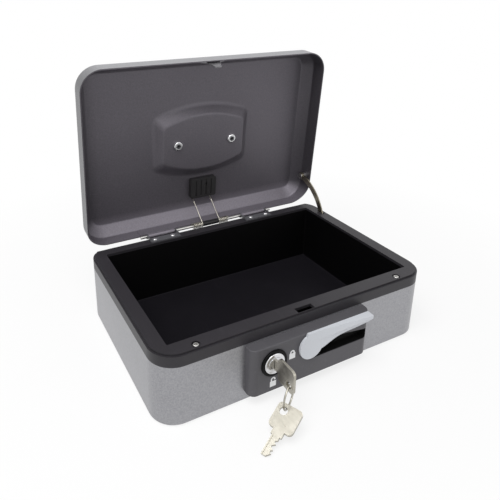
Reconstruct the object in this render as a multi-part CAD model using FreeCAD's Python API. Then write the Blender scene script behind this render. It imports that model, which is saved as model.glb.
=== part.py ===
import FreeCAD, Part
import math
import os

os.makedirs("parts", exist_ok=True)
V = FreeCAD.Vector

# Box, in mm: X to the right, Y to the back, Z up, origin under the middle of the base.
body_length = 250.0
body_depth = 170.0
corner_radius = 20.0
sheet = 1.0
bottom_radius = 2.0
half_length = body_length / 2
half_depth = body_depth / 2
running = 0.05
gap = 0.3
past = 5.0
wide = half_length + past
behind = half_depth + past

# Rim frame: band flush with the steel, ledge for the lid, raised flange, lower ledge at the back.
band_bottom = 50.0
rim_ledge = 58.5
rim_top = 60.0
back_ledge = 56.2
back_step_y = half_depth - 7.0
raised_inset = 1.6
band_wall = 2.7
flange = 2.5
tongue_drop = 4.0
tongue_gap = 0.2
opening_x = half_length - 12.5
opening_front = -half_depth + 13.5
opening_back = half_depth - 16.5
opening_radius = 1.0
tray_wall = 1.5

# Lid, stated closed and opened about the hinge pin for the rest pose.
lid_open = 85.0
lid_mouth = rim_ledge + gap
lid_skirt_top = 75.0
lid_bevel = 9.5
lid_top = lid_skirt_top + lid_bevel
lid_inner = lid_top - sheet
bevel_round = 3.5

# Hinge at the back edge.
pin_y = half_depth - 1.0
pin_z = back_ledge + 4.1
pin_radius = 1.5
pin_half = 74.0
knuckle_radius = 2.5
knuckle_in = 38.5
knuckle_out = 66.5
ear = 1.0
plate = 1.0
leaf_top = pin_z + 12.5
back_mouth = pin_z + knuckle_radius + 0.25

# Spring on the pin, with arms to a pad on the lid.
spring_x = 2.0
wire_radius = 0.45
coil_radius = 2.6
coil_pitch = 1.75
coil_turns = 6
coil_start = 9.75
coil_clear = coil_radius + wire_radius + 0.4
pad_width = 28.5
pad_back = half_depth - 22.0
pad_room = 5.2
pad_depth = 5.5
pad_ribs = 5
pad_groove = 1.2
pad_hole = 1.4
pad_hole_in = 7.0
arm_inset = 5.0

# Lock housing on the front wall.
front = -half_depth
housing_half = 57.5
housing_right = housing_half - 4.2
housing_bottom = 8.3
housing_top = band_bottom - 1.4
housing_depth = 9.0
housing_face = front - housing_depth
housing_wall = 2.2
housing_round = 6.0
recess_depth = 7.4

# Cylinder lock.
lock_x = -housing_half + 19.2
lock_z = 33.7
barrel_radius = 7.9
barrel_face = 8.6
barrel_proud = 2.0
plug_radius = 5.5
plug_proud = 0.4
plug_face = housing_face - barrel_proud - plug_proud
plug_end = front + 7.8
ring_radius = 11.0
cam_thick = 1.4
cam_length = 16.0

# Keys: a square bow, a short neck and a flat blade.
bow = 18.8
key_thick = 2.0
key_blade = 18.6
key_neck = 4.0
blade_width = 5.8
hole_radius = 3.0
hole_edge = 5.6
loop_radius = 9.4
loop_wire = 0.7
loop_turn = 33.0
spare_turn = 24.0
spare_ring_angle = 50.0
spare_slack = 1.1

# Thumb lever and latch.
lever_x = -6.0
lever_z = 37.0
lever_head = 10.5
lever_top = housing_top + 0.6
lever_back = housing_face - gap
lever_front = lever_back - 2.0
lever_reach = lever_back - 6.4
lever_travel = 15.0
recess_left = lever_x + 5.0
recess_right = housing_right - 1.5
recess_bottom = lever_z - 13.1
recess_top = lever_z + 3.0
recess_mouth = 8.6
lever_end = housing_half - 7.0
lever_tip = lever_end + 2.2
shaft_radius = 3.5
lug_radius = 9.0
lug_pin = 1.6
slide_travel = lug_radius * math.sin(math.radians(lever_travel))
tongue_left = lever_x + 7.0
slot_left = lever_x - 4.0
slot_right = tongue_left + 4.3
slot_front = front + 1.8
slot_back = front + 7.4
slide_thick = 1.5
slide_front = front + 2.8
slide_back = slide_front + slide_thick
slide_left = lever_x - 7.0
slide_right = tongue_left + 9.5
slide_bottom = band_bottom - 6.5
slide_top = band_bottom + 0.3
tongue_bottom = band_bottom + 3.4
tongue_top = tongue_bottom + 2.2
striker_edge = tongue_left + slide_travel - 0.2

# Handle recess in the lid and folding handle.
recess_drop = 8.0
press_half_x = 43.0
press_half_mid = 28.3
press_half_side = 18.4
press_flare = 8.0
press_corner = 10.0
press_round = 3.5
press_foot = 6.0
pad_front = press_half_mid + press_flare + pad_room
recess_floor = lid_top - recess_drop
post_x = 29.4
post_half = 4.0
handle_axis_z = recess_floor + 3.6
handle_pin = 2.0
handle_arm = 5.0
handle_thick = 6.0
handle_reach = 22.0

# Lid stay at the right, pivoted on the lid and sliding in a slot of the flange.
stay_x = half_length - 6.0
stay_thick = 1.2
stay_half = 3.0
stay_pivot_y = pin_y - 28.3
stay_pivot_z = pin_z + 7.5
stay_slot_y = half_depth - 33.0
stay_bulge = 6.0
stay_slot_front = stay_slot_y - 5.1
stay_slot_back = stay_slot_y + 5.0

# Screws.
screw_radius = 1.2
screw_head = 2.6
screw_bite = 6.0
screw_drive = 1.6
head_height = 1.5
rim_head = 2.2
rim_sink = 3.2
rim_seat = rim_top - 1.6
rim_screw_x = half_length - 31.0
rim_screw_y = front + 5.6
rim_screw_tip = rim_top - 17.0


def box(x0, x1, y0, y1, z0, z1):
    return Part.makeBox(x1 - x0, y1 - y0, z1 - z0, V(x0, y0, z0))


def rod(radius, start, end):
    axis = end - start
    return Part.makeCylinder(radius, axis.Length, start, axis)


def bore(radius, x, z):
    return rod(radius, V(x, plug_face - past, z), V(x, plug_end + past, z))


def hole_down(radius, x, y, low):
    return rod(radius, V(x, y, low), V(x, y, rim_top + past))


def upright(shape):
    return [e for e in shape.Edges if e.BoundBox.XLength < 1e-6 and e.BoundBox.YLength < 1e-6]


def level(shape, z):
    return [e for e in shape.Edges if abs(e.BoundBox.ZMin - z) < 1e-6 and abs(e.BoundBox.ZMax - z) < 1e-6]


def along_y(shape):
    return [e for e in shape.Edges if e.BoundBox.XLength < 1e-6 and e.BoundBox.ZLength < 1e-6]


def rounded(x0, x1, y0, y1, z0, z1, radius):
    block = box(x0, x1, y0, y1, z0, z1)
    return block.makeFillet(radius, upright(block))


def outline(inset, z0, z1):
    x = half_length - inset
    y = half_depth - inset
    return rounded(-x, x, -y, y, z0, z1, corner_radius - inset)


def prism(points, sweep):
    wire = Part.makePolygon(points + [points[0]])
    return Part.Face(wire).extrude(sweep)


def opened(shape):
    turned = shape.copy()
    turned.rotate(V(0, pin_y, pin_z), V(1, 0, 0), -lid_open)
    return turned


def save(node, shape):
    clean = shape.removeSplitter()
    print(node, clean.isValid(), len(clean.Solids), round(clean.Volume, 1))
    clean.exportStep("parts/" + node + ".step")


# Steel body: a pressed tub with holes in the front wall for lock, lever and screws.
screw_side = 7.5
screw_low = housing_bottom + 6.2
housing_screw_at = [(screw_side - housing_half, screw_low), (housing_right - screw_side, screw_low),
                    (lever_x + 30.0, housing_top - 6.3)]
lug_z = lever_z + lug_radius


def lug_slot(y0, y1):
    low = lug_z - lug_pin - 0.6
    high = lug_z + lug_pin + 0.3
    return box(lever_x - lug_pin - 0.4, lever_x + slide_travel + lug_pin + 0.4, y0, y1, low, high)


tub = outline(0, 0, band_bottom)
tub = tub.makeFillet(bottom_radius, level(tub, 0))
tub_inside = outline(sheet, sheet, band_bottom + 1)
tub_inside = tub_inside.makeFillet(bottom_radius - sheet, level(tub_inside, sheet))
body_shell = tub.cut(tub_inside)
body_shell = body_shell.cut(bore(barrel_radius + 0.4, lock_x, lock_z))
body_shell = body_shell.cut(bore(shaft_radius + 0.4, lever_x, lever_z))
body_shell = body_shell.cut(lug_slot(front - 1, front + 3))
for sx, sz in housing_screw_at:
    body_shell = body_shell.cut(bore(screw_radius + 0.1, sx, sz))
save("body_shell", body_shell)

# Rim frame: band, tongue inside the steel, ledge, raised flange, and slots for striker and stay.
rim_low = band_bottom - tongue_drop
rim = outline(0, band_bottom, rim_ledge)
back_room = box(-wide, wide, back_step_y, behind, back_ledge, rim_top + past)
rim = rim.cut(back_room)
raised = outline(raised_inset, rim_ledge - 0.5, rim_top).cut(back_room)
rim = rim.fuse(raised)
rim = rim.fuse(outline(sheet + tongue_gap, rim_low, band_bottom))
hollow = outline(band_wall, rim_low - 1, rim_top - flange)
hollow = hollow.cut(box(-wide, wide, back_step_y - flange, behind, back_ledge - flange, rim_top + past))
rim = rim.cut(hollow)
rim = rim.cut(rounded(-opening_x, opening_x, opening_front, opening_back, rim_low - past, rim_top + past,
                      opening_radius))
break_left = slide_left - 7.0
break_right = slide_right + 9.5
rim = rim.cut(box(break_left, break_right, front + sheet, front + band_wall + 1, rim_low - 1, band_bottom))
rim = rim.cut(box(slot_left, slot_right, slot_front, slot_back, band_bottom + 1, rim_top + 1))
stay_slot_x0 = stay_x - 0.6
stay_slot_x1 = stay_x + stay_thick + 0.6
rim = rim.cut(box(stay_slot_x0, stay_slot_x1, stay_slot_front, stay_slot_back, band_bottom, rim_top + 1))
for sx in (-rim_screw_x, rim_screw_x):
    rim = rim.cut(hole_down(screw_radius + 0.2, sx, rim_screw_y, band_bottom))
    rim = rim.cut(hole_down(rim_sink, sx, rim_screw_y, rim_seat))
rivet_y = back_step_y - 3.6
rivet_in = knuckle_in + 6.0
rivet_out = knuckle_out - 3.6
rivet_x = (-rivet_out, -rivet_in, rivet_in, rivet_out)
for sx in rivet_x:
    rim = rim.cut(hole_down(screw_radius + 0.05, sx, rivet_y, band_bottom))
save("rim_frame", rim)

# Inner tray: moulded box from the steel floor to the underside of the flange, with screw bosses.
tray_top = rim_top - flange
boss_low = tray_top - 23.5
tray = rounded(-opening_x - tray_wall, opening_x + tray_wall, opening_front - tray_wall,
               opening_back + tray_wall, sheet, tray_top, opening_radius + tray_wall)
for sx in (-rim_screw_x, rim_screw_x):
    tray = tray.fuse(box(sx - 3.5, sx + 3.5, front + band_wall + gap, opening_front, boss_low, tray_top))
tray_inside = rounded(-opening_x, opening_x, opening_front, opening_back, sheet + tray_wall, rim_top + past,
                      opening_radius)
tray_inside = tray_inside.makeFillet(0.6, level(tray_inside, sheet + tray_wall))
tray = tray.cut(tray_inside)
for sx in (-rim_screw_x, rim_screw_x):
    tray = tray.cut(hole_down(screw_radius + 0.02, sx, rim_screw_y, rim_screw_tip - 3))
save("inner_tray", tray)

# Rim screws: pan heads with a cross recess, sunk into the flange.
rim_screws = []
for sx in (-rim_screw_x, rim_screw_x):
    head = Part.makeCylinder(rim_head, head_height, V(sx, rim_screw_y, rim_seat))
    head = head.makeFillet(0.5, level(head, rim_seat + head_height))
    head = head.fuse(rod(screw_radius, V(sx, rim_screw_y, rim_screw_tip), V(sx, rim_screw_y, rim_seat + 0.2)))
    for dx, dy in ((screw_drive, 0.3), (0.3, screw_drive)):
        head = head.cut(box(sx - dx, sx + dx, rim_screw_y - dy, rim_screw_y + dy, rim_seat + head_height / 2,
                            rim_top + past))
    rim_screws.append(head)
save("rim_screws", Part.makeCompound(rim_screws))

# Lock housing: a hollow moulding on the front wall with bosses and a finger recess.
block_back = front + 2 * housing_depth
block = rounded(-housing_half, housing_right, housing_face, block_back, housing_bottom, housing_top,
                housing_round)
block = block.cut(box(-wide, wide, front, block_back + past, housing_bottom - past, housing_top + past))
face_edges = [e for e in block.Edges if e.BoundBox.YMin < housing_face + 0.01]
face_edges = [e for e in face_edges if e.BoundBox.YMax < front - 0.5]
block = block.makeFillet(0.8, [e for e in face_edges if e.BoundBox.ZLength < 1e-6])
inside = box(-housing_half + housing_wall, housing_right - housing_wall, housing_face + housing_wall, front,
             housing_bottom + housing_wall, housing_top - housing_wall)
inside = inside.cut(box(recess_left - 2, recess_right + 2, housing_face - past, front + past,
                        recess_bottom - 2, recess_top + 2))
inside = inside.cut(bore(ring_radius, lock_x, lock_z))
inside = inside.cut(bore(lever_head - 1, lever_x, lever_z))
for sx, sz in housing_screw_at:
    inside = inside.cut(bore(3 * screw_radius, sx, sz))
housing = block.cut(inside)
pocket_end = housing_face + recess_depth
pocket_start = housing_face - 1
pocket = prism([V(recess_left, pocket_start, recess_bottom), V(recess_right, pocket_start, recess_bottom),
                V(recess_right, pocket_start, recess_bottom + recess_mouth),
                V(recess_left, pocket_start, recess_top)], V(0, pocket_end - pocket_start, 0))
pocket = pocket.makeFillet(4.0, [e for e in along_y(pocket) if e.BoundBox.XMin > recess_right - 1])
housing = housing.cut(pocket.cut(bore(lever_head - 1, lever_x, lever_z)))
housing = housing.cut(bore(barrel_radius + 0.1, lock_x, lock_z))
lever_wire = 0.45
lever_coil = shaft_radius + 1.8
lever_pitch = 1.4
lever_turns = 4
coil_y = housing_face + 0.6
coil_back = coil_y + lever_pitch * lever_turns + lever_wire + 0.5
spring_room = lever_coil + lever_wire + 1.4
room_front = V(lever_x, housing_face - past, lever_z)
housing = housing.cut(rod(spring_room, room_front, V(lever_x, coil_back, lever_z)))
housing = housing.cut(bore(shaft_radius + running, lever_x, lever_z))
housing = housing.cut(lug_slot(housing_face - past, front + past))
for sx, sz in housing_screw_at:
    hole_end = V(sx, front - screw_bite - 0.5, sz)
    housing = housing.cut(rod(screw_radius + 0.02, hole_end, V(sx, front + 1, sz)))
save("lock_housing", housing)

# Housing screws: driven from inside the steel wall into the housing's bosses.
housing_screws = []
for sx, sz in housing_screw_at:
    screw = rod(screw_head, V(sx, front + sheet, sz), V(sx, front + sheet + head_height, sz))
    screw = screw.fuse(rod(screw_radius, V(sx, front - screw_bite, sz), V(sx, front + sheet + 0.1, sz)))
    y_drive = front + sheet + head_height / 2
    screw = screw.cut(box(sx - screw_drive, sx + screw_drive, y_drive, y_drive + past, sz - 0.3, sz + 0.3))
    housing_screws.append(screw)
save("housing_screws", Part.makeCompound(housing_screws))

# Lock: black ring on the housing, bright barrel through housing and wall, nut inside.
escutcheon = rod(ring_radius, V(lock_x, housing_face - 1.6, lock_z), V(lock_x, housing_face, lock_z))
front_rim = [e for e in escutcheon.Edges if e.BoundBox.YMax < housing_face - 1.5]
escutcheon = escutcheon.makeFillet(0.9, front_rim)
escutcheon = escutcheon.cut(bore(barrel_face + 0.1, lock_x, lock_z))
save("lock_escutcheon", escutcheon)

barrel_end = plug_end - 2.3
barrel = rod(barrel_face, V(lock_x, housing_face - barrel_proud, lock_z), V(lock_x, housing_face, lock_z))
face_rim = [e for e in barrel.Edges if e.BoundBox.YMax < housing_face - barrel_proud + 0.1]
barrel = barrel.makeFillet(0.8, face_rim)
barrel = barrel.fuse(rod(barrel_radius, V(lock_x, housing_face, lock_z), V(lock_x, barrel_end, lock_z)))
barrel = barrel.cut(bore(plug_radius + running, lock_x, lock_z))
save("lock_barrel", barrel)

nut_front = front + sheet
nut_reach = barrel_radius + 4.1
hexagon = []
for k in range(6):
    turn = math.radians(60 * k + 30)
    hexagon.append(V(lock_x + nut_reach * math.cos(turn), nut_front, lock_z + nut_reach * math.sin(turn)))
nut = prism(hexagon, V(0, 2.6, 0))
nut = nut.cut(bore(barrel_radius + 0.02, lock_x, lock_z))
save("lock_nut", nut)

# Plug with keyway and square tail, cam pointing down when unlocked, and its screw.
key_tip = plug_face - key_neck + key_blade
keyway = box(lock_x - key_thick / 2 - gap, lock_x + key_thick / 2 + gap, plug_face - 1, key_tip + gap,
             lock_z - blade_width / 2 - gap, lock_z + blade_width / 2 + gap)
tail = 2.5
plug = rod(plug_radius, V(lock_x, plug_face, lock_z), V(lock_x, plug_end, lock_z))
plug = plug.fuse(box(lock_x - tail, lock_x + tail, plug_end - 0.1, plug_end + cam_thick, lock_z - tail,
                     lock_z + tail))
plug = plug.cut(keyway)
screw_bore = 1.0
plug = plug.cut(rod(screw_bore, V(lock_x, plug_end, lock_z), V(lock_x, plug_end + 3, lock_z)))
save("lock_plug", plug)

cam = rod(5.0, V(lock_x, plug_end, lock_z), V(lock_x, plug_end + cam_thick, lock_z))
cam = cam.fuse(box(lock_x - 4, lock_x + 4, plug_end, plug_end + cam_thick, lock_z - cam_length, lock_z))
cam = cam.cut(box(lock_x - tail, lock_x + tail, plug_end - past, plug_end + past,
                  lock_z - tail, lock_z + tail))
save("lock_cam", cam)

cam_face = plug_end + cam_thick
cam_screw = rod(4.0, V(lock_x, cam_face, lock_z), V(lock_x, cam_face + 1.3, lock_z))
screw_tip = V(lock_x, plug_end + 0.1, lock_z)
cam_screw = cam_screw.fuse(rod(screw_bore, screw_tip, V(lock_x, cam_face + 0.1, lock_z)))
drive = box(lock_x - 2.5, lock_x + 2.5, cam_face + 0.7, cam_face + past, lock_z - 0.4, lock_z + 0.4)
cam_screw = cam_screw.cut(drive)
save("cam_screw", cam_screw)


# Key in its own frame: X along the blade from the bow's edge, Y across, Z through the flat.
def make_key():
    half = key_thick / 2
    head = rounded(-bow, 0, -bow / 2, bow / 2, -half, half, 3.2)
    head = head.fuse(box(-1, key_neck, -4.2, 4.2, -half, half))
    head = head.fuse(box(key_neck - 0.5, key_blade, -blade_width / 2, blade_width / 2, -half, half))
    for k, depth in enumerate((1.4, 2.0, 1.1)):
        at = key_neck + 3.6 + 3.4 * k
        notch = [V(at - depth, blade_width / 2 + 0.1, -5), V(at + depth, blade_width / 2 + 0.1, -5),
                 V(at + 0.5, blade_width / 2 - depth, -5), V(at - 0.5, blade_width / 2 - depth, -5)]
        head = head.cut(prism(notch, V(0, 0, 10)))
    point = [V(key_blade - 3, blade_width / 2 + 0.1, -5), V(key_blade + 1, blade_width / 2 + 0.1, -5),
             V(key_blade + 1, -0.5, -5)]
    head = head.cut(prism(point, V(0, 0, 10)))
    groove_top = half - 0.5
    head = head.cut(box(key_neck + 1, key_blade + 1, -1.9, -0.6, groove_top, 5))
    hole = V(hole_edge - bow, hole_edge - bow / 2, -5)
    return head.cut(Part.makeCylinder(hole_radius, 10, hole))


def placed(shape, along, across, origin):
    through = along.cross(across)
    matrix = FreeCAD.Matrix(along.x, across.x, through.x, origin.x,
                            along.y, across.y, through.y, origin.y,
                            along.z, across.z, through.z, origin.z, 0, 0, 0, 1)
    moved = shape.copy()
    moved.Placement = FreeCAD.Placement(matrix)
    return moved


bow_y = plug_face - key_neck
save("key_in_lock", placed(make_key(), V(0, 1, 0), V(0, 0, 1), V(lock_x, bow_y, lock_z)))

# Wire ring through the key's hole, and the second key leaning from the ring to the table.
hole_y = bow_y - bow + hole_edge
hole_z = lock_z - bow / 2 + hole_edge
ring_drop = 1.1
ring_at = V(lock_x, hole_y, hole_z - ring_drop - loop_radius)
ring_turn = math.radians(loop_turn)
ring_side = V(math.cos(ring_turn), math.sin(ring_turn), 0)
ring_normal = V(-math.sin(ring_turn), math.cos(ring_turn), 0)
save("key_ring", Part.makeTorus(loop_radius, loop_wire, ring_at, ring_normal))

on_ring = math.radians(spare_ring_angle)
ring_down = V(0, 0, -loop_radius * math.cos(on_ring))
spare_hang = ring_at - ring_side * (loop_radius * math.sin(on_ring)) + ring_down
spare_length = spare_slack + bow - hole_edge + key_blade
spare_tilt = math.asin((spare_hang.z - key_thick / 2 - gap) / spare_length)
plan_turn = math.radians(spare_turn)
spare_along = V(-math.cos(plan_turn) * math.cos(spare_tilt), -math.sin(plan_turn) * math.cos(spare_tilt),
                -math.sin(spare_tilt))
spare_across = V(math.sin(plan_turn), -math.cos(plan_turn), 0)
spare_hole = spare_hang + spare_along * spare_slack
spare_origin = spare_hole + spare_along * (bow - hole_edge) + spare_across * (bow / 2 - hole_edge)
save("spare_key", placed(make_key(), spare_along, spare_across, spare_origin))
print("spare hole", spare_hole, "ring", ring_at, "hole", lock_x, hole_y, hole_z, "hangs", spare_hang)

# Thumb lever: round head, arm with a wide top that comes forward towards its tip, shaft, drive pin.
lever_span = lever_end - lever_x


def arm_x(share):
    return lever_x + lever_span * share


neck_turn = math.radians(-26)
neck = V(lever_x + lever_head * math.cos(neck_turn), 0, lever_z + lever_head * math.sin(neck_turn))
under = V(lever_end, 0, lever_z + 3.8)
shoulder = V(lever_x - 4.6, 0, lever_z + 9.4)
top_left = V(lever_x - 3.6, 0, lever_top)
top_right = V(lever_end - 1.0, 0, lever_top)
middle = V(lever_x, 0, lever_z)
lower = Part.BSplineCurve()
lower.interpolate([under, V(arm_x(0.85), 0, lever_z + 3.1), V(arm_x(0.69), 0, lever_z + 2.5),
                   V(arm_x(0.5), 0, lever_z + 1.6), V(arm_x(0.37), 0, lever_z - 0.2),
                   V(arm_x(0.27), 0, lever_z - 2.6), neck])
edges = [Part.LineSegment(shoulder, top_left).toShape(),
         Part.LineSegment(top_left, top_right).toShape(),
         Part.Arc(top_right, V(lever_tip - 0.3, 0, (lever_top + under.z) / 2 + 0.6), under).toShape(),
         lower.toShape(),
         Part.LineSegment(neck, middle).toShape(),
         Part.LineSegment(middle, shoulder).toShape()]
arm = Part.Face(Part.Wire(edges)).extrude(V(0, lever_reach - lever_back, 0))
arm.translate(V(0, lever_back, 0))
lever = arm.fuse(rod(lever_head, V(lever_x, lever_back, lever_z), V(lever_x, lever_reach, lever_z)))
flat_end = V(arm_x(0.07), lever_front, 0)
tip_front = V(lever_tip, lever_reach + 3.4, 0)
tip_back = V(lever_tip, lever_back, 0)
left_back = V(lever_x - lever_head - past, lever_back, 0)
left_front = V(left_back.x, lever_front, 0)
bulge = Part.BSplineCurve()
bulge.interpolate([flat_end, V(arm_x(0.35), lever_front - 1.1, 0), V(arm_x(0.64), lever_front - 2.9, 0),
                   V(arm_x(0.885), lever_reach + 0.1, 0), V(arm_x(0.99), lever_reach + 0.5, 0), tip_front])
plan = [Part.LineSegment(left_back, left_front).toShape(),
        Part.LineSegment(left_front, flat_end).toShape(),
        bulge.toShape(),
        Part.LineSegment(tip_front, tip_back).toShape(),
        Part.LineSegment(tip_back, left_back).toShape()]
lever = lever.common(Part.Face(Part.Wire(plan)).extrude(V(0, 0, lever_top + past)))
slope = [V(left_back.x, lever_front, lever_z + 4.2), V(left_back.x, lever_reach - 1.5, lever_top - 0.6),
         V(left_back.x, lever_reach - 1.5, 0), V(left_back.x, lever_front, 0)]
lever = lever.cut(prism(slope, V(lever_tip + past - left_back.x, 0, 0)))
shaft_end = front + 2.6
lever = lever.fuse(rod(shaft_radius, V(lever_x, lever_back - 1, lever_z), V(lever_x, shaft_end, lever_z)))
lever = lever.fuse(rod(lug_pin, V(lever_x, lever_back - 1, lug_z), V(lever_x, slide_back, lug_z)))
save("release_lever", lever)

clip_front = front + sheet + 0.1
lever_clip = rod(shaft_radius + 2.0, V(lever_x, clip_front, lever_z), V(lever_x, clip_front + 0.9, lever_z))
lever_clip = lever_clip.cut(bore(shaft_radius, lever_x, lever_z))
save("lever_clip", lever_clip)


# Wound wire: arcs that follow points with their directions, swept as one tube.
def arc_edge(start, direction, end):
    chord = end - start
    side = chord - direction * chord.dot(direction)
    if side.Length < 1e-7:
        return Part.LineSegment(start, end).toShape()
    side = side.normalize()
    radius = chord.dot(chord) / (2 * chord.dot(side))
    half_turn = math.asin(min(1.0, chord.Length / (2 * radius)))
    if chord.dot(direction) < 0:
        half_turn = math.pi - half_turn
    middle = start + direction * (radius * math.sin(half_turn)) + side * (radius * (1 - math.cos(half_turn)))
    return Part.Arc(start, middle, end).toShape()


def wound(stations, radius):
    edges = []
    for (p0, t0), (p1, t1) in zip(stations[:-1], stations[1:]):
        v = p1 - p0
        if (v - t0 * v.dot(t0)).Length < 1e-6 and (t1 - t0).Length < 1e-6:
            edges.append(Part.LineSegment(p0, p1).toShape())
            continue
        t = t0 + t1
        k = 2 * (1 - t0.dot(t1))
        d = (-v.dot(t) + math.sqrt(v.dot(t) ** 2 + k * v.dot(v))) / k
        joint = (p0 + p1 + (t0 - t1) * d) * 0.5
        edges.append(arc_edge(p0, t0, joint))
        mid_direction = (p1 - p0 - (t0 + t1) * d).normalize()
        edges.append(arc_edge(joint, mid_direction, p1))
    path = Part.Wire(edges)
    ring = Part.Wire(Part.makeCircle(radius, stations[0][0], stations[0][1]))
    return Part.Solid(path.makePipeShell([ring], True, False)), path


def coil(centre, axis, first, turns, pitch, radius, hand):
    second = axis.cross(first)
    slope = pitch / (2 * math.pi * radius)
    flat = 1 / math.sqrt(1 + slope * slope)
    points = []
    for k in range(turns * 4 + 1):
        a = hand * k * math.pi / 2
        out = first * math.cos(a) + second * math.sin(a)
        ahead = (second * math.cos(a) - first * math.sin(a)) * hand
        at = centre + axis * (pitch * k / 4) + out * radius
        points.append((at, (ahead + axis * slope) * flat))
    return points


def self_gap(path, radius, pitch):
    points = path.discretize(Distance=0.35)
    least = 1e9
    for i in range(0, len(points), 2):
        for j in range(i + int(pitch / 0.35) + 12, len(points)):
            least = min(least, (points[i] - points[j]).Length)
    return least - 2 * radius


# Return spring around the lever's shaft, inside the housing's boss.
coil_middle = V(lever_x, coil_y, lever_z)
lever_stations = coil(coil_middle, V(0, 1, 0), V(0, 0, 1), lever_turns, lever_pitch, lever_coil, 1)
lever_spring, lever_path = wound(lever_stations, lever_wire)
print("lever spring gap", round(self_gap(lever_path, lever_wire, lever_pitch), 3))
save("lever_spring", lever_spring)

# Latch slide with a slot for the drive pin and a tongue into the striker, and its guide rails.
post_left = slot_right + gap
slide = box(slide_left, slide_right, slide_front, slide_back, slide_bottom, slide_top)
slide = slide.fuse(box(post_left, slide_right, slide_front, slide_back, slide_bottom, tongue_top))
tongue_back = slide_back + 1.1
slide = slide.fuse(box(tongue_left, post_left + 0.4, slide_front, tongue_back, tongue_bottom, tongue_top))
pin_room = lug_pin + running
pin_slot_top = lug_z + lug_pin + gap
slide = slide.cut(box(lever_x - pin_room, lever_x + pin_room, slide_front - past, slide_back + past,
                      slide_bottom - 1, pin_slot_top))
save("latch_slide", slide)

rails = []
rail_back = slide_back + gap + 1.2
for x0, x1 in ((slide_left - 6.0, slide_left + 0.8), (slide_right - 10.1, slide_right + 6.5)):
    rail = box(x0, x1, front + sheet, rail_back, slide_bottom - 2.6, slide_bottom - gap)
    rails.append(rail.fuse(box(x0, x1, slide_back + gap, rail_back, slide_bottom - 1, slide_bottom + 3)))
save("latch_guide", Part.makeCompound(rails))

# Hinge: pin, bracket plates with ears on the back flange, rivets and a sleeve between the coils.
def along_pin(radius):
    return rod(radius, V(-pin_half - past, pin_y, pin_z), V(pin_half + past, pin_y, pin_z))


pin = rod(pin_radius, V(-pin_half, pin_y, pin_z), V(pin_half, pin_y, pin_z))
save("hinge_pin", pin)

brackets = []
for side in (-1, 1):
    x0, x1 = sorted((side * (knuckle_in - gap - ear), side * (knuckle_out + gap + ear)))
    bracket = box(x0, x1, opening_back + 1.5, back_step_y, rim_top, rim_top + plate)
    for e0 in (x0, x1 - ear):
        cheek = box(e0, e0 + ear, back_step_y - 4, pin_y, rim_top, rim_top + 2.4)
        cheek = cheek.fuse(rod(knuckle_radius, V(e0, pin_y, pin_z), V(e0 + ear, pin_y, pin_z)))
        bracket = bracket.fuse(cheek)
    bracket = bracket.cut(rod(pin_radius, V(x0 - 1, pin_y, pin_z), V(x1 + 1, pin_y, pin_z)))
    for sx in rivet_x:
        bracket = bracket.cut(hole_down(screw_radius + 0.02, sx, rivet_y, rim_low))
    brackets.append(bracket)
save("hinge_brackets", Part.makeCompound(brackets))

rivets = []
for sx in rivet_x:
    head = Part.makeCylinder(2.3, 1.1, V(sx, rivet_y, rim_top + plate))
    head = head.makeFillet(0.8, level(head, rim_top + plate + 1.1))
    shank_top = V(sx, rivet_y, rim_top + plate + 0.1)
    rivets.append(head.fuse(rod(screw_radius, V(sx, rivet_y, rim_top - flange), shank_top)))
save("hinge_rivets", Part.makeCompound(rivets))

sleeve_half = coil_start - 1.0
sleeve = rod(knuckle_radius, V(spring_x - sleeve_half, pin_y, pin_z), V(spring_x + sleeve_half, pin_y, pin_z))
sleeve = sleeve.cut(along_pin(pin_radius))
save("hinge_sleeve", sleeve)


# Lid shell: pressed steel with bevel and barrel-shaped handle recess, its edge rising round the back.
def lid_form(inset, z0, z1, bevel, softness):
    form = outline(inset, z0, z1)
    form = form.makeChamfer(bevel, level(form, z1))
    return form.makeFillet(softness, level(form, z1) + level(form, z1 - bevel))


def barrel_wire(grow, z):
    x = press_half_x + grow
    mid = press_half_mid + grow
    side = press_half_side + grow
    edges = [Part.Arc(V(-x, -side, z), V(0, -mid, z), V(x, -side, z)).toShape(),
             Part.LineSegment(V(x, -side, z), V(x, side, z)).toShape(),
             Part.Arc(V(x, side, z), V(0, mid, z), V(-x, side, z)).toShape(),
             Part.LineSegment(V(-x, side, z), V(-x, -side, z)).toShape()]
    return Part.Wire(edges)


def pressing(grow, z_base, z_floor):
    form = Part.makeLoft([barrel_wire(press_flare + grow, z_base), barrel_wire(grow, z_floor)], True, True)
    corners = [e for e in form.Edges if e.BoundBox.ZLength > 1]
    form = form.makeFillet(press_corner, corners)
    return form.makeFillet(press_round, level(form, z_floor))


bend_grow = sheet * (math.sqrt(2) - 1)
inner_bevel = lid_bevel - sheet * (2 - math.sqrt(2))
lid = lid_form(0, lid_mouth, lid_top, lid_bevel, bevel_round)
lid = lid.cut(lid_form(sheet, lid_mouth - 5, lid_inner, inner_bevel, bevel_round - sheet))
lid = lid.fuse(pressing(bend_grow, lid_inner, recess_floor - sheet))
foot_reach = press_half_x + press_flare + 3.0
lid = lid.makeFillet(press_foot, [e for e in level(lid, lid_inner) if e.BoundBox.XMax < foot_reach])
lid = lid.cut(pressing(0, lid_top, recess_floor))
leaf_back = half_depth - sheet
ramp_front = half_depth - corner_radius
rise = [V(-wide, ramp_front, lid_mouth), V(-wide, leaf_back, back_mouth), V(-wide, behind, back_mouth),
        V(-wide, behind, lid_mouth - past), V(-wide, ramp_front, lid_mouth - past)]
lid = lid.cut(prism(rise, V(2 * wide, 0, 0)))
coil_reach = coil_start + coil_pitch * coil_turns + 1.5
coil_room = rod(coil_clear, V(spring_x - coil_reach, pin_y, pin_z), V(spring_x + coil_reach, pin_y, pin_z))
lid = lid.cut(coil_room)
stud_radius = 2.4
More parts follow.
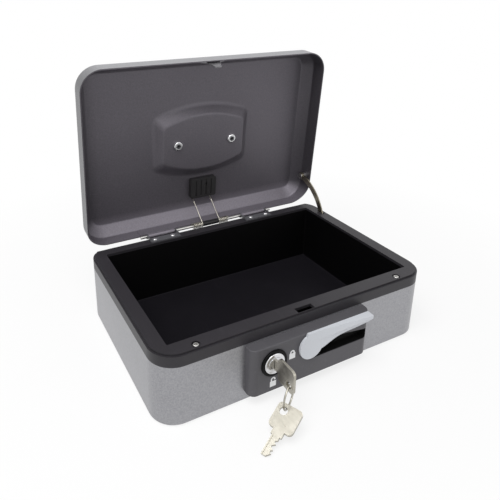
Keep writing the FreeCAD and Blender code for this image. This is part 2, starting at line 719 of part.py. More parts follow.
for sx in (-post_x, post_x):
    lid = lid.cut(rod(stud_radius + 0.02, V(sx, 0, recess_floor - past), V(sx, 0, recess_floor + past)))
save("lid_shell", opened(lid))

# Lid leaf on the back skirt with two knuckles on the pin.
leaf_half = knuckle_out + ear + gap + 5.0
leaf = box(-leaf_half, leaf_half, leaf_back - plate, leaf_back, back_mouth, leaf_top)
for side in (-1, 1):
    x0, x1 = sorted((side * knuckle_in, side * knuckle_out))
    leaf = leaf.fuse(box(x0, x1, leaf_back - plate, leaf_back, pin_z, leaf_top))
    leaf = leaf.fuse(rod(knuckle_radius, V(x0, pin_y, pin_z), V(x1, pin_y, pin_z)))
leaf = leaf.cut(along_pin(pin_radius + running))
leaf = leaf.cut(coil_room)
save("hinge_lid_leaf", opened(leaf))

# Torsion springs: coils on the pin, arms up to grooves behind the pad.
groove_z = lid_inner - wire_radius - gap
bend_y = pad_back + 2.6


def lid_spring(side):
    target = V(0, bend_y - pin_y, groove_z - pin_z)
    far = math.atan2(target.z, target.y)
    leave = far + math.acos(coil_radius / target.Length)
    first = V(0, math.cos(leave), math.sin(leave))
    inner = V(spring_x + side * coil_start, pin_y, pin_z)
    turns = coil(inner, V(side, 0, 0), first, coil_turns, coil_pitch, coil_radius, side)
    start, ahead = turns[0]
    heading = V(0, math.sin(leave), -math.cos(leave))
    corner = start + heading * ((groove_z - start.z) / heading.z)
    bend = 3.4
    path = [(V(corner.x, pad_front + arm_inset, groove_z), V(0, 1, 0)),
            (V(corner.x, corner.y - bend, groove_z), V(0, 1, 0)),
            (corner - heading * bend, heading * -1.0),
            (start + heading * 2.0, heading * -1.0)]
    return path + turns, corner.x


springs = []
arm_places = []
for side in (-1, 1):
    stations, x_arm = lid_spring(side)
    spring, spring_path = wound(stations, wire_radius)
    print("lid spring gap", round(self_gap(spring_path, wire_radius, coil_pitch), 3), spring.isValid())
    springs.append(spring)
    arm_places.append(x_arm)
save("lid_springs", opened(Part.makeCompound(springs)))

# Ribbed pad on the spring arms, flat against the lid.
pad = rounded(spring_x - pad_width / 2, spring_x + pad_width / 2, pad_front, pad_back, lid_inner - pad_depth,
              lid_inner, 2.0)
for x_arm in arm_places:
    room = wire_radius + 0.3
    pad = pad.cut(box(x_arm - room, x_arm + room, pad_front + arm_inset - 0.5, pad_back + 1, groove_z - room,
                      lid_inner + 1))
pad_face = lid_inner - pad_depth
rib_pitch = pad_width / pad_ribs
for k in range(1, pad_ribs):
    x = spring_x - pad_width / 2 + rib_pitch * k
    pad = pad.cut(box(x - pad_groove / 2, x + pad_groove / 2, pad_front + 2.0, pad_back - 2.0,
                      pad_face - past, pad_face + 0.8))
pad_hole_at = V(spring_x + rib_pitch / 2, pad_front + pad_hole_in, pad_face - 1)
pad = pad.cut(Part.makeCylinder(pad_hole, pad_depth / 2, pad_hole_at))
save("spring_pad", opened(pad))

# Striker on the front skirt: a folded tab that leans inwards and goes down through the slot.
striker_rise = 5.7
striker_top = lid_mouth + striker_rise
striker_low = band_bottom + 1.2
striker_lean = 13.3
striker_plate = plate * 1.2
fold_side = 4.5
fold_left = slot_left - fold_side
fold_right = slot_right + fold_side + 1.2
tab_left = slot_left + 1.6
tab_right = slot_right - 1.0
notch_low = tongue_bottom - gap
notch_high = tongue_top + gap
tab = [V(fold_left, 0, striker_top), V(fold_right, 0, striker_top), V(fold_right - 0.8, 0, striker_top - 1.6),
       V(tab_right, 0, striker_top - 3.6), V(striker_edge, 0, notch_high + 0.4),
       V(striker_edge, 0, notch_low),
       V(striker_edge - 2, 0, striker_low), V(slot_left + 5.5, 0, striker_low),
       V(tab_left, 0, striker_top - 3.6), V(fold_left + 0.8, 0, striker_top - 1.6)]
striker = prism(tab, V(0, striker_plate, 0))
striker.rotate(V(0, 0, striker_top), V(1, 0, 0), striker_lean)
striker.translate(V(0, front + sheet, 0))
striker = striker.cut(box(tongue_left - gap, slot_right, front, slide_back + past, notch_low, notch_high))
striker = striker.fuse(box(fold_left, fold_right, front + sheet, front + sheet + striker_plate,
                           striker_top - 0.3, striker_top + 8))
striker = striker.cut(box(-wide, wide, front - past, front + sheet, rim_low, lid_top + past))
save("lid_striker", opened(striker))

# Stud on the right skirt for the stay.
stud_end = stay_x - 1.0
skirt_inside = half_length - sheet


def stay_rod(radius, x0, x1):
    return rod(radius, V(x0, stay_pivot_y, stay_pivot_z), V(x1, stay_pivot_y, stay_pivot_z))


stud = 1.9
stay_stud = stay_rod(stud, stud_end, skirt_inside)
stay_stud = stay_stud.fuse(stay_rod(stud + 1.3, stay_x + stay_thick + gap, skirt_inside))
stay_stud = stay_stud.fuse(stay_rod(stud + 1.1, stud_end - 0.8, stay_x - gap))
save("stay_rivet", opened(stay_stud))

# Stay: an arched strip from the stud into the slot, with a foot under the flange. It is stated open.
pivot_shape = Part.Vertex(V(0, stay_pivot_y, stay_pivot_z))
pivot = opened(pivot_shape).Vertexes[0].Point
slot_point = V(0, stay_slot_y, rim_top - flange / 2)
chord = slot_point - pivot
up_side = V(0, -chord.z, chord.y).normalize()
if up_side.z < 0:
    up_side = up_side * -1.0
crown = pivot + chord * 0.5 + up_side * stay_bulge
arch = Part.Arc(pivot, crown, slot_point).toShape().Curve
arch_centre = arch.Center
arch_radius = arch.Radius
from_pivot = math.atan2(pivot.z - arch_centre.z, pivot.y - arch_centre.y)
to_slot = math.atan2(slot_point.z - arch_centre.z, slot_point.y - arch_centre.y)
sweep = to_slot - from_pivot
stay_end = from_pivot + sweep * 1.16


def on_arch(radius, angle):
    return V(stay_x, arch_centre.y + radius * math.cos(angle), arch_centre.z + radius * math.sin(angle))


def arch_band(r0, r1, a0, a1, x0, x1):
    mid = (a0 + a1) / 2
    edges = [Part.Arc(on_arch(r0, a0), on_arch(r0, mid), on_arch(r0, a1)).toShape(),
             Part.LineSegment(on_arch(r0, a1), on_arch(r1, a1)).toShape(),
             Part.Arc(on_arch(r1, a1), on_arch(r1, mid), on_arch(r1, a0)).toShape(),
             Part.LineSegment(on_arch(r1, a0), on_arch(r0, a0)).toShape()]
    band = Part.Face(Part.Wire(edges)).extrude(V(x1 - x0, 0, 0))
    band.translate(V(x0 - stay_x, 0, 0))
    return band


stay_inside = arch_radius - stay_half
stay_outside = arch_radius + stay_half
stay = arch_band(stay_inside, stay_outside, from_pivot, stay_end, stay_x, stay_x + stay_thick)
stay = stay.fuse(rod(stay_half + 1.2, V(stay_x, pivot.y, pivot.z), V(stay_x + stay_thick, pivot.y, pivot.z)))
foot_start = from_pivot + sweep * 1.12
stay = stay.fuse(arch_band(stay_inside, stay_outside, foot_start, stay_end, stay_x - 1.6,
                           stay_x + stay_thick + 1.6))
stay = stay.cut(rod(stud + running, V(stay_x - past, pivot.y, pivot.z), V(stay_x + past, pivot.y, pivot.z)))
save("lid_stay", stay)
print("stay pivot", pivot)

# Handle posts with studs through the lid, tubular fixings inside, and the folding handle.
posts = []
nuts = []
fixing = 2.4
for side in (-1, 1):
    x = side * post_x
    post = rounded(x - post_half, x + post_half, -post_half, post_half, recess_floor, recess_floor + 7.0, 1.5)
    pin_out = x + side * (post_half + gap + handle_arm)
    post = post.fuse(rod(handle_pin, V(x, 0, handle_axis_z), V(pin_out, 0, handle_axis_z)))
    stud_low = recess_floor - sheet - fixing - 0.4
    post = post.fuse(rod(stud_radius, V(x, 0, stud_low), V(x, 0, recess_floor + 1)))
    posts.append(post.cut(rod(1.5, V(x, 0, stud_low - 1), V(x, 0, stud_low + 3))))
    fixing_low = recess_floor - sheet - fixing
    nut_ring = rod(4.4, V(x, 0, fixing_low), V(x, 0, recess_floor - sheet))
    nut_ring = nut_ring.makeFillet(0.8, level(nut_ring, fixing_low))
    stud_room = rod(stud_radius + 0.02, V(x, 0, fixing_low - past), V(x, 0, recess_floor + past))
    nuts.append(nut_ring.cut(stud_room))
save("handle_posts", opened(Part.makeCompound(posts)))
save("handle_nuts", opened(Part.makeCompound(nuts)))

arm_in = post_x + post_half + gap
arm_out = arm_in + handle_arm
handle_low = handle_axis_z - handle_thick / 2
bail = rounded(-arm_out, arm_out, -handle_reach, handle_reach, handle_low, handle_low + handle_thick, 2.8)
bail = bail.cut(box(-arm_in, arm_in, -handle_reach - past, handle_reach - 7.0, handle_low - past,
                    handle_low + handle_thick + past))
bail = bail.cut(box(-arm_out - past, arm_out + past, -handle_reach - past, 0, handle_low - past,
                    handle_low + handle_thick + past))
far_edges = [e for e in bail.Edges if e.BoundBox.XLength > arm_in and e.BoundBox.YMin > handle_reach / 2]
bail = bail.makeFillet(1.2, far_edges)
for side in (-1, 1):
    x0, x1 = sorted((side * arm_in, side * arm_out))
    bail = bail.fuse(rod(handle_thick / 2, V(x0, 0, handle_axis_z), V(x1, 0, handle_axis_z)))
bail_end = V(arm_out + past, 0, handle_axis_z)
bail = bail.cut(rod(handle_pin + running, V(-bail_end.x, 0, handle_axis_z), bail_end))
save("carry_handle", opened(bail))

axis_point = opened(Part.Vertex(V(0, 0, handle_axis_z))).Vertexes[0].Point
print("handle axis", axis_point, "pin", pin_y, pin_z, "slide", slide_travel)
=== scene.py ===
import bpy
import math
from mathutils import Matrix, Vector


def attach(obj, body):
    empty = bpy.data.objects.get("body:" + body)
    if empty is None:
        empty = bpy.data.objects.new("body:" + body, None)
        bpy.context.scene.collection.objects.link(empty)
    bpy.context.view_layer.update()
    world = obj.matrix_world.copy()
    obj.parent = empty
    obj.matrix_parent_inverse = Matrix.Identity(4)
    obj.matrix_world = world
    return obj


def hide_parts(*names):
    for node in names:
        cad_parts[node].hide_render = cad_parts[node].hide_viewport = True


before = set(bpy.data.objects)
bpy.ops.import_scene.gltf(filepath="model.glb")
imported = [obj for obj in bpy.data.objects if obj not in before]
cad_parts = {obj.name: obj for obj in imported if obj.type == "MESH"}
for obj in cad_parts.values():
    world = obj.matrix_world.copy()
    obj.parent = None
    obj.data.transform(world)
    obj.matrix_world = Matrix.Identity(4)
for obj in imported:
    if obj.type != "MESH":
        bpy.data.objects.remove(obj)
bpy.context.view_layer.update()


# Body shell: a deep-drawn steel tub with round corners, sprayed in a satin metallic grey.
# The coat shows fine flakes, a faint orange peel and a little rubbing at the foot.
class Shade:
    """One output of a material's node tree, with arithmetic on it."""

    def __init__(self, tree, socket=None):
        self.tree = tree
        self.socket = socket

    def node(self, kind, settings, sockets, out=0):
        made = self.tree.nodes.new(kind)
        for name, value in settings.items():
            setattr(made, name, value)
        for name, value in sockets.items():
            if isinstance(value, Shade):
                self.tree.links.new(value.socket, made.inputs[name])
            else:
                made.inputs[name].default_value = value
        return Shade(self.tree, made.outputs[out])

    def maths(self, operation, first, second=0.0):
        return self.node("ShaderNodeMath", {"operation": operation}, {0: first, 1: second})

    def __add__(self, other):
        return self.maths("ADD", self, other)

    __radd__ = __add__

    def __sub__(self, other):
        return self.maths("SUBTRACT", self, other)

    def __rsub__(self, other):
        return self.maths("SUBTRACT", other, self)

    def __mul__(self, other):
        return self.maths("MULTIPLY", self, other)

    __rmul__ = __mul__

    def __pow__(self, other):
        return self.maths("POWER", self, other)

    def ramp(self, low, high):
        return self.node("ShaderNodeMapRange", {"clamp": True},
                         {"Value": self, "From Min": low, "From Max": high, "To Min": 0.0, "To Max": 1.0})

    def between(self, first, second):
        return self.node("ShaderNodeMix", {"data_type": "RGBA"}, {0: self, 6: first, 7: second}, 2)


def finish_of(name):
    material = bpy.data.materials.new(name)
    material.use_nodes = True
    tree = material.node_tree
    start = Shade(tree)
    place = start.node("ShaderNodeTexCoord", {}, {}, "Object")
    return material, start, place, tree.nodes["Principled BSDF"]


def grain(start, place, scale, detail=2.0, stretch=(1.0, 1.0, 1.0)):
    spot = start.node("ShaderNodeMapping", {}, {"Vector": place, "Scale": stretch})
    return start.node("ShaderNodeTexNoise", {},
                      {"Vector": spot, "Scale": scale, "Detail": detail, "Roughness": 0.55})


def axes_of(start, place):
    split = start.node("ShaderNodeSeparateXYZ", {}, {"Vector": place})
    owner = split.socket.node
    return [Shade(start.tree, owner.outputs[k]) for k in range(3)]


def relief(start, shader, height, strength, distance):
    bump = start.node("ShaderNodeBump", {}, {"Height": height, "Strength": strength, "Distance": distance})
    start.tree.links.new(bump.socket, shader.inputs["Normal"])


def feed(start, shader, **values):
    for name, value in values.items():
        socket = shader.inputs[name.replace("_", " ")]
        if isinstance(value, Shade):
            start.tree.links.new(value.socket, socket)
        else:
            socket.default_value = value


def dress(material, *names):
    for name in names:
        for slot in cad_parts[name].material_slots:
            slot.material = material


coat_light = (0.395, 0.395, 0.413, 1.0)
coat_dark = (0.255, 0.255, 0.27, 1.0)
bare_steel = (0.20, 0.20, 0.21, 1.0)
body_foot = 0.004


def sprayed_grey(name, light, dark, foot):
    material, start, place, shader = finish_of(name)
    flakes = grain(start, place, 2600.0, 1.0)
    flecks = grain(start, place, 820.0, 2.0)
    cloud = grain(start, place, 9.0, 3.0)
    tone = (flakes * 0.35 + flecks * 0.75 + cloud * 0.30).ramp(0.42, 0.98)
    height = axes_of(start, place)[2]
    rubbed = (1.0 - height.ramp(0.0, foot)) * grain(start, place, 160.0, 4.0).ramp(0.5, 0.72) * 0.5
    colour = rubbed.between(tone.between(dark, light), bare_steel)
    feed(start, shader, Base_Color=colour, Metallic=0.86, Roughness=0.28 + 0.10 * flakes + 0.10 * flecks)
    relief(start, shader, flecks * 0.8 + flakes * 0.2, 0.16, 0.0002)
    return material


body_paint = sprayed_grey("sprayed_grey_body", coat_light, coat_dark, body_foot)
dress(body_paint, "body_shell")

# Inner tray: a black moulded box that hangs in the rim, with a fine spark texture on all faces.
# Coins leave faint scuffs on its floor, and the walls are painted a deeper black than the floor, as painted
# shade.
def moulded(name, colour, lighter, rough, grain_size, depth, scuffs, sheen=0.5):
    material, start, place, shader = finish_of(name)
    fine = grain(start, place, grain_size, 2.0)
    cloud = grain(start, place, 24.0, 3.0)
    marks = grain(start, place, 210.0, 5.0, (1.0, 0.22, 1.0)).ramp(0.60, 0.74) * scuffs
    tone = (fine * 0.5 + cloud * 0.5).ramp(0.30, 0.72)
    colour = marks.between(tone.between(colour, lighter), [4.0 * c for c in lighter[:3]] + [1.0])
    feed(start, shader, Base_Color=colour, Roughness=(fine - 0.5) * 0.16 + marks * 0.2 + rough,
         Specular_IOR_Level=sheen)
    relief(start, shader, fine, depth, 0.00015)
    return material


def fed(start, shader, name):
    return Shade(start.tree, shader.inputs[name].links[0].from_socket)


tray_black = moulded("tray_black", (0.0056, 0.0051, 0.0068, 1.0), (0.0092, 0.0083, 0.0110, 1.0),
                     0.52, 1700.0, 0.35, 0.08, sheen=0.12)
start = Shade(tray_black.node_tree)
shader = tray_black.node_tree.nodes["Principled BSDF"]
height = axes_of(start, start.node("ShaderNodeTexCoord", {}, {}, "Object"))[2]
floor_top = 0.0028
wall_foot = 0.0036
wall_shade_black = (0.0011, 0.0010, 0.0012, 1.0)
# Painted shade: the walls above the floor are painted near black, darker than the floor.
wall_shade_mask = height.ramp(floor_top, wall_foot)
feed(start, shader, Base_Color=wall_shade_mask.between(fed(start, shader, "Base Color"), wall_shade_black))
dress(tray_black, "inner_tray")

# Rim frame: a dark grey moulded frame that clips over the steel edge.
# It is half gloss, with a lighter grain than the tray.
rim_dark = moulded("rim_dark", (0.021, 0.0195, 0.0225, 1.0), (0.030, 0.0275, 0.0325, 1.0),
                   0.42, 2100.0, 0.16, 0.06, sheen=0.3)
dress(rim_dark, "rim_frame")

# Small steel hardware: zinc plate, slightly cloudy, brushed by the tumbling barrel.
# The handle's nuts and the hinge rivets are brighter.
def plated(name, light, dark, rough, streak, metal=1.0):
    material, start, place, shader = finish_of(name)
    cloud = grain(start, place, 130.0, 4.0)
    lines = grain(start, place, 900.0, 3.0, streak)
    tone = (cloud * 0.6 + lines * 0.4).ramp(0.34, 0.66)
    feed(start, shader, Base_Color=tone.between(dark, light), Metallic=metal,
         Roughness=cloud * 0.18 + lines * 0.14 + rough)
    relief(start, shader, lines, 0.10, 0.0001)
    return material


zinc = plated("zinc_plate", (0.70, 0.69, 0.67, 1.0), (0.46, 0.455, 0.44, 1.0), 0.16, (0.25, 1.0, 1.0))
dress(zinc, "rim_screws", "housing_screws", "lock_nut", "lock_cam", "cam_screw", "lever_clip", "lever_spring",
      "latch_slide", "hinge_pin", "stay_rivet")
nut_bright = plated("nut_bright", (0.86, 0.86, 0.87, 1.0), (0.68, 0.68, 0.69, 1.0), 0.10, (0.25, 1.0, 1.0))
dress(nut_bright, "handle_nuts", "hinge_rivets")

# Hinge brackets and handle posts: folded and turned steel.
# Both have the same dark satin coat.
bracket_dark = moulded("bracket_dark", (0.085, 0.085, 0.092, 1.0), (0.115, 0.115, 0.125, 1.0),
                       0.38, 1300.0, 0.10, 0.12)
dress(bracket_dark, "hinge_brackets", "handle_posts")

# Black moulded trim: hinge sleeve, latch guide and carrying handle.
# The lock ring is a deeper black.
trim_black = moulded("trim_black", (0.008, 0.008, 0.009, 1.0), (0.013, 0.013, 0.014, 1.0),
                     0.42, 1500.0, 0.22, 0.10, sheen=0.3)
dress(trim_black, "hinge_sleeve", "latch_guide", "carry_handle")
ring_black = moulded("ring_black", (0.0018, 0.0018, 0.002, 1.0), (0.003, 0.003, 0.0033, 1.0),
                     0.45, 1500.0, 0.15, 0.04, sheen=0.1)
dress(ring_black, "lock_escutcheon")

# Lock housing: a mid grey moulded cover, screwed on from inside, with a fine matt grain.
# Its finger recess is painted near black, as painted shade, and two small white padlocks, shut and open, are
# printed by the lock.
def lesser(first, second):
    return first.maths("MINIMUM", first, second)


def greater(first, second):
    return first.maths("MAXIMUM", first, second)


def filled(distance, blur=0.00008):
    return 1.0 - distance.ramp(-blur, blur)


def slab(across, up, half_width, half_height, corner=0.0):
    dx = across.maths("ABSOLUTE", across) - (half_width - corner)
    dy = up.maths("ABSOLUTE", up) - (half_height - corner)
    past_x = greater(dx, 0.0)
    past_y = greater(dy, 0.0)
    return (past_x * past_x + past_y * past_y) ** 0.5 + lesser(greater(dx, dy), 0.0) - corner


block_half_width = 0.0027
block_half_height = 0.0024
block_drop = 0.0012
hoop_radius = 0.0015
hoop_half = 0.0006
hoop_rise = 0.0018
leg_rise = 0.0014


def padlock(x, z, centre, lift):
    across = x - centre[0]
    up = z - centre[1]
    block = slab(across, up + block_drop, block_half_width, block_half_height)
    hoop_up = up - hoop_rise - lift
    off_hoop = (across * across + hoop_up * hoop_up) ** 0.5 - hoop_radius
    arc = greater(off_hoop.maths("ABSOLUTE", off_hoop) - hoop_half, hoop_up * -1.0)
    left_leg = slab(across + hoop_radius, up - leg_rise - lift * 0.5, hoop_half, hoop_half + lift)
    right_leg = slab(across - hoop_radius, up - leg_rise - lift * 1.6, hoop_half, hoop_half)
    return filled(lesser(lesser(block, arc), lesser(left_leg, right_leg)))


housing_grey = moulded("housing_grey", (0.072, 0.070, 0.077, 1.0), (0.093, 0.090, 0.099, 1.0),
                       0.46, 1900.0, 0.22, 0.05, sheen=0.3)
start = Shade(housing_grey.node_tree)
shader = housing_grey.node_tree.nodes["Principled BSDF"]
x, y, z = axes_of(start, start.node("ShaderNodeTexCoord", {}, {}, "Object"))
housing_face = -0.094
lock_x = -0.0383
recess_x = 0.0255
recess_z = 0.03195
recess_end = 0.0520
recess_shade_black = (0.003, 0.003, 0.003, 1.0)
print_white = (0.78, 0.79, 0.80, 1.0)
shut_mark = (-0.0220, 0.0345)
open_mark = (lock_x, 0.0160)
# Painted shade: the finger recess behind the housing's face is painted near black.
shaded_recess = filled(slab(x - recess_x, z - recess_z, 0.0268, 0.0084))
shaded_recess = shaded_recess * y.ramp(housing_face + 0.0003, housing_face + 0.0008)
shaded_recess = shaded_recess * (1.0 - x.ramp(recess_end, recess_end + 0.0001))
printed = greater(padlock(x, z, shut_mark, 0.0), padlock(x, z, open_mark, 0.0008))
printed = printed * (1.0 - y.ramp(housing_face + 0.0002, housing_face + 0.0004))
plain = fed(start, shader, "Base Color")
colour = printed.between(shaded_recess.between(plain, recess_shade_black), print_white)
feed(start, shader, Base_Color=colour)
dress(housing_grey, "lock_housing")

# Lock: a die-cast cylinder with a polished face.
# It is turned on a lathe, so fine rings run round its axis.
def turned_bright(name, light, dark, centre_x, centre_z):
    material, start, place, shader = finish_of(name)
    x, z = axes_of(start, place)[::2]
    across = x - centre_x
    up = z - centre_z
    reach = (across * across + up * up) ** 0.5
    rings = start.node("ShaderNodeTexNoise", {"noise_dimensions": "1D"},
                       {"W": reach * 1000.0, "Scale": 6.0, "Detail": 2.0})
    cloud = grain(start, place, 240.0, 4.0)
    tone = (rings * 0.5 + cloud * 0.5).ramp(0.35, 0.65)
    feed(start, shader, Base_Color=tone.between(dark, light), Metallic=1.0,
         Roughness=rings * 0.12 + cloud * 0.10 + 0.05)
    relief(start, shader, rings, 0.08, 0.0001)
    return material


lock_z = 0.0337
lock_bright = turned_bright("lock_bright", (0.80, 0.80, 0.81, 1.0), (0.60, 0.60, 0.62, 1.0), lock_x, lock_z)
dress(lock_bright, "lock_barrel", "lock_plug")

# Thumb lever: a smooth light grey moulding.
# It has less grain than the housing, as such a lever is polished by use.
lever_light = moulded("lever_light", (0.55, 0.57, 0.61, 1.0), (0.60, 0.62, 0.66, 1.0),
                      0.36, 1100.0, 0.05, 0.0)
dress(lever_light, "release_lever")

# Lid shell and its hinge leaf: pressed steel in the same grey coat as the body.
# The hollow side is painted darker, as painted shade, and is less metallic and rougher. The end walls are
# painted darker too, as painted shade, and the hollow side near the hinge is painted lighter, as painted
# light.
def dimmed(colour, share):
    return colour.node("ShaderNodeMix", {"data_type": "RGBA", "blend_type": "MULTIPLY"},
                       {0: 1.0, 6: colour, 7: share}, 2)


pin = Vector((0.0, 0.084, 0.0603))
lid_open = math.radians(-85.0)
opening = Matrix.Rotation(lid_open, 3, "X")
shut_place = pin - opening.transposed() @ pin
lid_half = (0.1245, 0.0845)
lid_corner = 0.0195
lid_foot = 0.001
lid_paint = sprayed_grey("sprayed_grey_lid", coat_light, coat_dark, lid_foot)
start = Shade(lid_paint.node_tree)
shader = lid_paint.node_tree.nodes["Principled BSDF"]
looks = start.node("ShaderNodeTexCoord", {}, {}, "Normal")
upward = start.node("ShaderNodeVectorMath", {"operation": "DOT_PRODUCT"},
                    {0: looks, 1: opening @ Vector((0.0, 0.0, 1.0))}, "Value")
place = start.node("ShaderNodeTexCoord", {}, {}, "Object")
shut = start.node("ShaderNodeMapping", {},
                  {"Vector": place, "Rotation": (-lid_open, 0.0, 0.0), "Location": shut_place})
x, y = axes_of(start, shut)[:2]
walls = filled(slab(x, y, *lid_half, lid_corner)) * (1.0 - upward.ramp(0.1, 0.3))
hollow = greater(walls, 1.0 - upward.ramp(-0.3, -0.1))
bevel_inner_x = 0.106
bevel_outer_x = 0.123
bevel_inner_y = 0.066
bevel_outer_y = 0.074
hollow_shade_tone = (0.37, 0.342, 0.375, 1.0)
# Painted shade on the end walls, inside and out, painted shade over the whole hollow side, and painted light
# on the hollow side near the hinge.
end_wall_shade = x.maths("ABSOLUTE", x).ramp(bevel_inner_x, bevel_outer_x)
hinge_bevel_light = y.ramp(bevel_inner_y, bevel_outer_y)
coat = fed(start, shader, "Base Color")
shaded_hollow = dimmed(dimmed(coat, hollow_shade_tone), 1.0 - end_wall_shade * 0.35 + hinge_bevel_light * 0.66)
feed(start, shader, Base_Color=hollow.between(dimmed(coat, 1.0 - end_wall_shade * 0.52), shaded_hollow),
     Metallic=0.86 - hollow * 0.36, Roughness=fed(start, shader, "Roughness") + hollow * 0.12)
dress(lid_paint, "lid_shell", "hinge_lid_leaf")

# Spring pad: a ribbed black moulding that carries the spring arms.
# It is a little lighter than the other black trim.
pad_black = moulded("pad_black", (0.015, 0.014, 0.015, 1.0), (0.021, 0.020, 0.021, 1.0),
                    0.48, 1500.0, 0.25, 0.10)
dress(pad_black, "spring_pad")

# Lid springs: two wound wire springs on the hinge pin, each with a long arm that lies in the pad.
# The route is worked out with the lid shut, as in the part's source, and then swung open about the pin.
spring_middle = 0.002
coil_start = 0.00975
coil_radius = 0.0026
coil_pitch = 0.00175
coil_turns = 6
steps_per_turn = 16
wire_radius = 0.00045
arm_end_y = 0.0465
arm_corner_y = 0.0656
groove_z = 0.08275
bend_run = 0.0030
lead_run = 0.0035


def spring_route(side):
    target = Vector((0.0, arm_corner_y, groove_z)) - pin
    leave = math.atan2(target.z, target.y) + math.acos(coil_radius / target.length)
    inner = spring_middle + side * coil_start
    arm = Vector((0.0, math.sin(leave), -math.cos(leave)))
    foot = Vector((inner, pin.y + coil_radius * math.cos(leave), pin.z + coil_radius * math.sin(leave)))
    corner = foot + arm * ((groove_z - foot.z) / arm.z)
    route = [Vector((inner, arm_end_y, groove_z)), Vector((inner, 0.5 * (arm_end_y + corner.y), groove_z))]
    route += [corner + Vector((0.0, -bend_run, 0.0)), corner, corner - arm * bend_run, foot + arm * lead_run]
    drawn_in = (2.0 + math.cos(2.0 * math.pi / steps_per_turn)) / 3.0
    for step in range(steps_per_turn * coil_turns + 1):
        turn = step / steps_per_turn
        angle = leave + 2.0 * math.pi * turn
        around = Vector((0.0, math.cos(angle), math.sin(angle))) * (coil_radius / drawn_in)
        route.append(pin + around + Vector((inner + side * coil_pitch * turn, 0.0, 0.0)))
    return route


for chosen in bpy.context.selected_objects:
    chosen.select_set(False)
bpy.ops.curve.primitive_nurbs_path_add(location=(0.0, 0.0, 0.0))
springs = bpy.context.object
springs.name = "wound_lid_springs"
springs.data.splines.clear()
for side in (-1.0, 1.0):
    route = spring_route(side)
    wire = springs.data.splines.new("NURBS")
    wire.points.add(len(route) - 1)
    for point, spot in zip(wire.points, route):
        point.co = (*spot, 1.0)
    wire.order_u = 4
    wire.use_endpoint_u = True
    wire.resolution_u = 3
springs.data.bevel_depth = wire_radius
springs.data.bevel_resolution = 4
springs.data.use_fill_caps = True
bpy.ops.object.convert(target="MESH")
springs.data.transform(Matrix.Translation(pin) @ opening.to_4x4() @ Matrix.Translation(-pin))
bpy.ops.object.shade_smooth_by_angle(angle=math.radians(50.0))
spring_bright = plated("spring_bright", (0.58, 0.55, 0.48, 1.0), (0.34, 0.32, 0.28, 1.0), 0.20,
                       (0.3, 1.0, 1.0))
springs.data.materials.append(spring_bright)
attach(springs, "lid")
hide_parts("lid_springs")

# Striker: a folded steel tab on the lid's front edge.
# Its zinc is dull and worn by the latch.
striker_dull = plated("striker_dull", (0.34, 0.335, 0.35, 1.0), (0.17, 0.167, 0.177, 1.0), 0.34,
                      (0.2, 1.0, 1.0))
dress(striker_dull, "lid_striker")

# Stay: a flat curved steel strip.
# Its zinc coat is passivated and slightly yellow.
stay_gold = plated("stay_gold", (0.36, 0.33, 0.25, 1.0), (0.19, 0.17, 0.13, 1.0), 0.20, (1.0, 0.3, 1.0))
dress(stay_gold, "lid_stay")

# Keys and ring: nickel plated and warm in tone.
# Fine scratches run along them from use.
key_nickel = plated("key_nickel", (0.46, 0.44, 0.387, 1.0), (0.36, 0.343, 0.295, 1.0), 0.16, (1.0, 0.2, 0.6))
dress(key_nickel, "key_in_lock", "key_ring", "spare_key")

# Studio: a pale floor that runs out into white, two soft lamps, a white surround and the camera.
# The camera's shift keeps the uprights nearly parallel, as they are in the photograph.
for chosen in bpy.context.selected_objects:
    chosen.select_set(False)
floor_radius = 4.0
floor_drop = 0.0002
bpy.ops.mesh.primitive_circle_add(vertices=96, radius=floor_radius, fill_type="NGON",
                                  location=(0.0, 0.0, -floor_drop))
floor = bpy.context.object
floor.name = "floor"
floor_white, start, place, shader = finish_of("floor_white")
x, y = axes_of(start, place)[:2]
reach = (x * x + y * y) ** 0.5
shadow_reach = 0.16
white_reach = 0.42
near_glow = 0.78
glow = start.node("ShaderNodeEmission", {}, {"Color": (1.0, 1.0, 1.0, 1.0), "Strength": 1.0})
feed(start, shader, Base_Color=(0.90, 0.90, 0.90, 1.0), Roughness=0.7, Specular_IOR_Level=0.2)
share = reach.ramp(shadow_reach, white_reach) * (1.0 - near_glow) + near_glow
mixed = start.node("ShaderNodeMixShader", {}, {0: share, 2: glow})
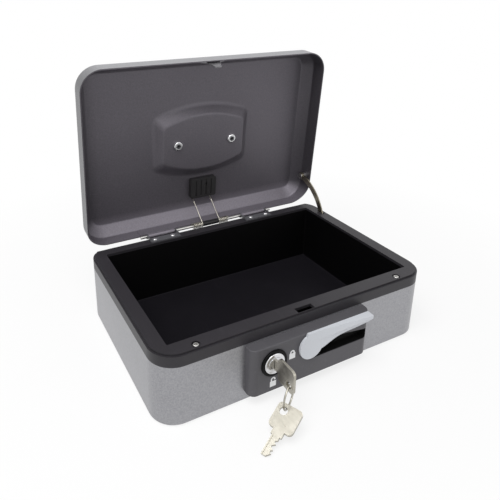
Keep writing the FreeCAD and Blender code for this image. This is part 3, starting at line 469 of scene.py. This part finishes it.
start.tree.links.new(shader.outputs[0], mixed.socket.node.inputs[1])
start.tree.links.new(mixed.socket, start.tree.nodes["Material Output"].inputs["Surface"])
floor.data.materials.append(floor_white)

world = bpy.data.worlds.new("studio")
bpy.context.scene.world = world
world.use_nodes = True
sky = Shade(world.node_tree)
seen = Shade(sky.tree, sky.tree.nodes.new("ShaderNodeLightPath").outputs["Is Camera Ray"])
path = seen.socket.node
shows = seen.maths("MAXIMUM", seen, Shade(sky.tree, path.outputs["Is Glossy Ray"]))
shows = shows.maths("MAXIMUM", shows, Shade(sky.tree, path.outputs["Is Transmission Ray"]))
backdrop = sky.tree.nodes["Background"]
backdrop.inputs["Color"].default_value = (1.0, 1.0, 1.0, 1.0)
seen_strength = 1.0
lit_strength = 0.35
strength = shows * (seen_strength - lit_strength) + lit_strength
sky.tree.links.new(strength.socket, backdrop.inputs["Strength"])


def softbox(name, place, target, size, power):
    ahead = Vector(target) - Vector(place)
    bpy.ops.object.light_add(type="AREA", location=place, rotation=ahead.to_track_quat("-Z", "Y").to_euler())
    lamp = bpy.context.object
    lamp.name = name
    lamp.data.size = size
    lamp.data.energy = power


softbox("key_box", (-0.55, -0.35, 1.3), (0.0, 0.0, 0.04), 1.0, 17.0)
softbox("fill_box", (0.6, -1.2, 0.5), (0.0, -0.08, 0.03), 0.8, 1.5)

focal_pixels = 523.8
image_pixels = 500.0
centre_pixel = (210.0, 155.0)
azimuth = math.radians(27.41)
elevation = math.radians(18.58)
bpy.ops.object.camera_add(location=(-0.22350, -0.35023, 0.29786),
                          rotation=(math.pi / 2 - elevation, 0.0, -azimuth))
camera = bpy.context.object
camera.data.sensor_width = 36.0
camera.data.lens = focal_pixels / image_pixels * camera.data.sensor_width
camera.data.shift_x = (image_pixels / 2 - centre_pixel[0]) / image_pixels
camera.data.shift_y = (centre_pixel[1] - image_pixels / 2) / image_pixels
camera.data.clip_start = 0.01
bpy.context.scene.camera = camera
bpy.context.scene.view_settings.view_transform = "Standard"
